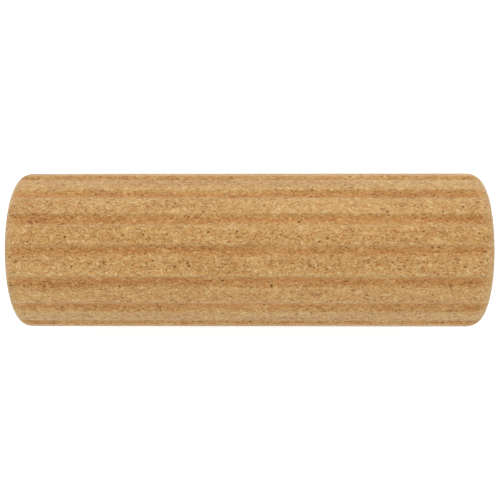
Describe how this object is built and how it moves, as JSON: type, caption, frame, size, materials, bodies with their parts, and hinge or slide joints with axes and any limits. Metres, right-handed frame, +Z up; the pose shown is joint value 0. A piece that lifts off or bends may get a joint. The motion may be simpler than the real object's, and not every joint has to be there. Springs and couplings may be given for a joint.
{
  "type": "balance board roller",
  "caption": "Fluted cork roller for a roller balance board: glued cork half sleeves on a plugged core tube, closed by cork discs in rounded ends.",
  "frame": {"origin": "centre of the roller's length, on the surface that it rests on, under its axis", "axes": "+X along the roller's axis towards its right end, +Z up, with a groove straight up and one straight down"},
  "size_m": [0.3, 0.0996, 0.0996],
  "materials": {
    "cork": "agglomerated cork, sanded, matte, unsealed",
    "tube_plastic": "extruded plastic, satin",
    "plug_plastic": "moulded plastic, fine texture"
  },
  "bodies": {
    "root": {"cork_shell_upper": "cork", "cork_shell_lower": "cork", "core_tube": "tube_plastic", "end_plug_left": "plug_plastic", "end_plug_right": "plug_plastic", "end_disc_left": "cork", "end_disc_right": "cork"}
  },
  "joints": []
}
